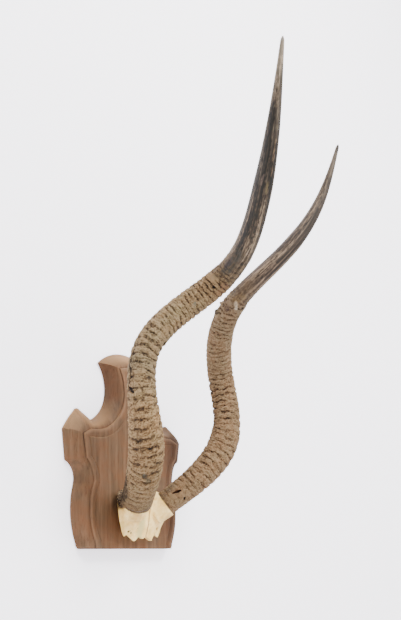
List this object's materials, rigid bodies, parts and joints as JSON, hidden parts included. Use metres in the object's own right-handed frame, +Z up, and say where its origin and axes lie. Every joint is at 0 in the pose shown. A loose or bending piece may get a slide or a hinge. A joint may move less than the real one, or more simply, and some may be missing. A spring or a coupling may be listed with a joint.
{
  "type": "mounted antelope horns",
  "caption": "Pair of lyre-shaped, ringed antelope horns with smooth pointed tips, joined by their piece of skull and fixed to a carved wooden wall shield.",
  "frame": {"origin": "on the shield's flat back face, on its upright centre line, 150 mm above its foot", "axes": "+Z up the shield, +Y out of its back face into the wall, so the front faces -Y; +X to the right of someone who looks at the front"},
  "size_m": [0.2812, 0.4417, 0.6847],
  "materials": {
    "stained_wood": "satin, reddish brown stain over upright grain",
    "dry_bone": "matte, cream, dry bone",
    "horn_tan": "matte, ringed keratin, smooth and darker towards the tip",
    "horn_brown": "matte, pitted and flaking keratin, smooth and darker towards the tip",
    "zinc_plate": "dull zinc plating",
    "screw_steel": "zinc plated"
  },
  "bodies": {
    "root": {"shield_board": "stained_wood", "skull_plate": "dry_bone", "horn_left": "horn_tan", "horn_right": "horn_brown", "keyhole_hanger": "zinc_plate", "skull_screw_l": "screw_steel", "skull_screw_r": "screw_steel", "hanger_screw_low": "screw_steel", "hanger_screw_high": "screw_steel"}
  },
  "joints": []
}
